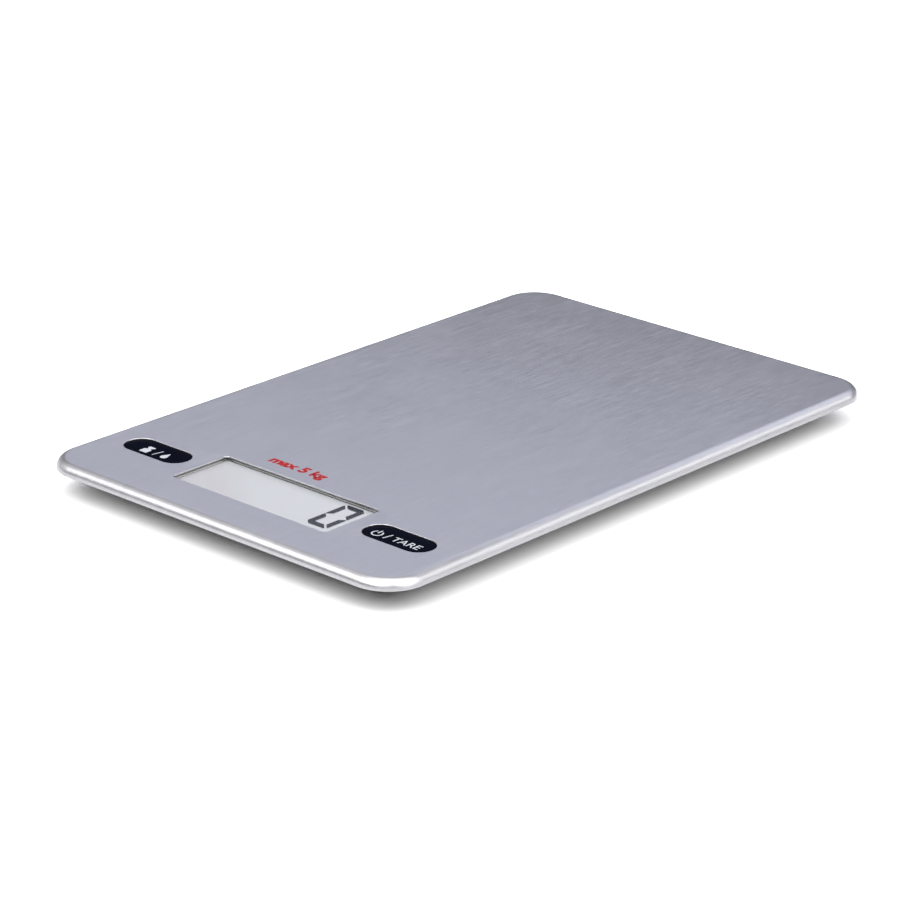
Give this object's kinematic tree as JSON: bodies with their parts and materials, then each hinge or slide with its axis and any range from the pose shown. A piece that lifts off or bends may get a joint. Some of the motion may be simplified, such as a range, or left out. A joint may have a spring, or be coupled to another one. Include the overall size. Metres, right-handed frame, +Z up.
{
  "type": "kitchen scale",
  "caption": "Flat digital kitchen scale: a brushed steel platform with a rounded pressed edge, a recessed display and oval keys, standing on four weighing feet.",
  "frame": {"origin": "on the table under the middle of the platform", "axes": "+X to the user's right, +Y away from the user towards the rear of the platform, +Z up; the display and the keys are along the -Y edge"},
  "size_m": [0.145, 0.226, 0.012],
  "materials": {
    "battery_can": "nickel plated",
    "ceramic": "sintered ceramic with tinned ends",
    "circuit_board": "green solder resist",
    "display_film": "light grey optical film",
    "epoxy": "cured epoxy",
    "foil": "amber film with etched foil",
    "frame_plastic": "moulded",
    "glass": "clear display glass",
    "housing": "fine moulded texture",
    "key": "glossy, printed legends",
    "label": "blank metallised film",
    "lens": "clear hard-coated acrylic",
    "rubber": "matt",
    "screw_steel": "zinc plated",
    "silicone": "smooth",
    "spring_steel": "rolled",
    "steel": "brushed lengthways, satin",
    "tape": "foam tape",
    "white_plastic": "moulded",
    "wire": "coloured insulation"
  },
  "bodies": {
    "root": {"battery_box": "frame_plastic", "battery_leads": "wire", "board_screws": "screw_steel", "bottom_cover": "housing", "carrier_frame": "frame_plastic", "cell_screws": "screw_steel", "cell_wires_front_left": "wire", "cell_wires_front_right": "wire", "cell_wires_rear_left": "wire", "cell_wires_rear_right": "wire", "chip_blob": "epoxy", "chip_capacitors": "ceramic", "chip_resistors": "ceramic", "coin_cell": "battery_can", "display_lens": "lens", "foot_front_left": "housing", "foot_front_right": "housing", "foot_pad_front_left": "rubber", "foot_pad_front_right": "rubber", "foot_pad_rear_left": "rubber", "foot_pad_rear_right": "rubber", "foot_rear_left": "housing", "foot_rear_right": "housing", "holder_screws": "screw_steel", "housing_screws": "screw_steel", "lcd_front_glass": "glass", "lcd_holder": "white_plastic", "lcd_polariser": "display_film", "lcd_rear_glass": "glass", "lcd_reflector": "display_film", "lens_tape": "tape", "load_cell_front_left": "spring_steel", "load_cell_front_right": "spring_steel", "load_cell_rear_left": "spring_steel", "load_cell_rear_right": "spring_steel", "main_board": "circuit_board", "negative_contact": "spring_steel", "platform_cover": "steel", "platform_tape": "tape", "positive_contact": "spring_steel", "rating_label": "label", "strain_gauge_front_left": "foil", "strain_gauge_front_right": "foil", "strain_gauge_rear_left": "foil", "strain_gauge_rear_right": "foil", "switch_body_tare": "epoxy", "switch_body_unit": "epoxy", "zebra_strips": "silicone"},
    "key_unit": {"key_unit": "key", "switch_plunger_unit": "white_plastic"},
    "key_tare": {"key_tare": "key", "switch_plunger_tare": "white_plastic"},
    "battery_door": {"battery_door": "housing", "battery_door_latch": "housing"}
  },
  "joints": [
    {"name": "key_unit_press", "type": "slide", "parent": "root", "child": "key_unit", "axis": [0, 0, -1], "range_m": [0, 0.0004], "stiffness_N_per_m": 4000, "springref_m": -0.0001},
    {"name": "key_tare_press", "type": "slide", "parent": "root", "child": "key_tare", "axis": [0, 0, -1], "range_m": [0, 0.0004], "stiffness_N_per_m": 4000, "springref_m": -0.0001},
    {"name": "battery_door_hinge", "type": "hinge", "parent": "root", "child": "battery_door", "pos_m": [0, -0.0267, 0.0042], "axis": [1, 0, 0], "range_deg": [0, 95], "deforming": ["battery_door_latch"]}
  ]
}
